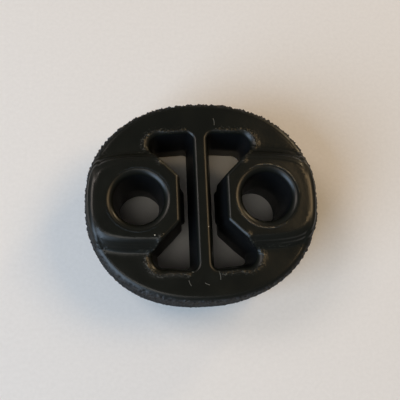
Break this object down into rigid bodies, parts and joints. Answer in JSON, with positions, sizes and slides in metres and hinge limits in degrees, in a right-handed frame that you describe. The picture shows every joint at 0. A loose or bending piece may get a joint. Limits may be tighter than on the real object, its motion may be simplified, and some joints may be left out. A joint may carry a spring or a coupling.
{
  "type": "exhaust hanger rubber",
  "caption": "Rounded rubber hanger for an exhaust, with a bore in a raised boss at each side and a web between two windows up the middle.",
  "frame": {"origin": "middle of the two boss faces that the part rests on, midway between the bores", "axes": "+Z along the bores and up, +X from one bore to the other, +Y along the web"},
  "size_m": [0.0628, 0.0552, 0.028],
  "materials": {
    "rubber": "satin black moulded rubber, rough round its outer side"
  },
  "bodies": {
    "root": {"hanger_rubber": "rubber"}
  },
  "joints": []
}
